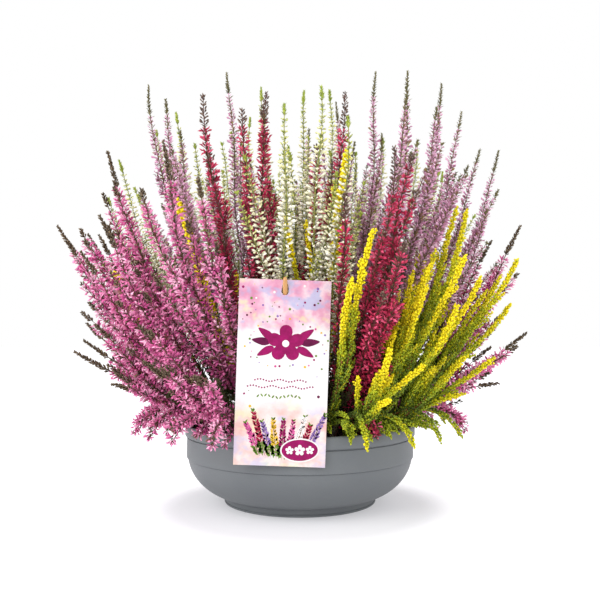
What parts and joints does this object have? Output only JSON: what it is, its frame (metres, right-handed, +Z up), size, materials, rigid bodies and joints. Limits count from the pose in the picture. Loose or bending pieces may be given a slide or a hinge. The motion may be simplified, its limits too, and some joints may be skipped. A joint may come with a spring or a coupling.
{
  "type": "potted heather",
  "caption": "Shallow round planting bowl filled with mixed bud-blooming heather, with a care card hung on a wooden stick at the front.",
  "frame": {"origin": "centre of the bowl's underside, on the surface it stands on", "axes": "+Z up, -Y towards the front with the care card, +X to the right seen from the front"},
  "size_m": [0.4641, 0.3601, 0.4339],
  "materials": {
    "bowl": "fine satin mould texture, mid grey",
    "soil": "dark crumbly peat potting soil",
    "tag": null,
    "tag_stick": "raw split wood",
    "heather_pink": "pink bud florets over dark green scale leaves, brown tips",
    "heather_lilac": "lilac bud florets over olive scale leaves, olive tips",
    "heather_white": "cream white bud florets over green scale leaves, lime tips",
    "heather_crimson": "crimson bud florets over dark scale leaves, brown tips",
    "heather_yellow": "yellow to lime scale leaves on orange-brown stems"
  },
  "bodies": {
    "root": {"bowl": "bowl", "heather_crimson_02": "heather_crimson", "heather_crimson_07": "heather_crimson", "heather_crimson_16": "heather_crimson", "heather_crimson_17": "heather_crimson", "heather_crimson_31": "heather_crimson", "heather_crimson_52": "heather_crimson", "heather_crimson_55": "heather_crimson", "heather_lilac_03": "heather_lilac", "heather_lilac_06": "heather_lilac", "heather_lilac_09": "heather_lilac", "heather_lilac_10": "heather_lilac", "heather_lilac_12": "heather_lilac", "heather_lilac_15": "heather_lilac", "heather_lilac_19": "heather_lilac", "heather_lilac_21": "heather_lilac", "heather_lilac_23": "heather_lilac", "heather_lilac_30": "heather_lilac", "heather_lilac_32": "heather_lilac", "heather_lilac_44": "heather_lilac", "heather_pink_25": "heather_pink", "heather_pink_26": "heather_pink", "heather_pink_29": "heather_pink", "heather_pink_34": "heather_pink", "heather_pink_35": "heather_pink", "heather_pink_36": "heather_pink", "heather_pink_39": "heather_pink", "heather_pink_41": "heather_pink", "heather_pink_45": "heather_pink", "heather_pink_46": "heather_pink", "heather_pink_47": "heather_pink", "heather_pink_51": "heather_pink", "heather_white_01": "heather_white", "heather_white_04": "heather_white", "heather_white_05": "heather_white", "heather_white_08": "heather_white", "heather_white_11": "heather_white", "heather_white_13": "heather_white", "heather_white_14": "heather_white", "heather_white_20": "heather_white", "heather_white_22": "heather_white", "heather_white_24": "heather_white", "heather_white_33": "heather_white", "heather_white_42": "heather_white", "heather_yellow_18": "heather_yellow", "heather_yellow_27": "heather_yellow", "heather_yellow_28": "heather_yellow", "heather_yellow_37": "heather_yellow", "heather_yellow_38": "heather_yellow", "heather_yellow_40": "heather_yellow", "heather_yellow_43": "heather_yellow", "heather_yellow_48": "heather_yellow", "heather_yellow_49": "heather_yellow", "heather_yellow_50": "heather_yellow", "heather_yellow_53": "heather_yellow", "heather_yellow_54": "heather_yellow", "heather_yellow_56": "heather_yellow", "soil": "soil", "tag": "tag", "tag_stick": "tag_stick"}
  },
  "joints": []
}
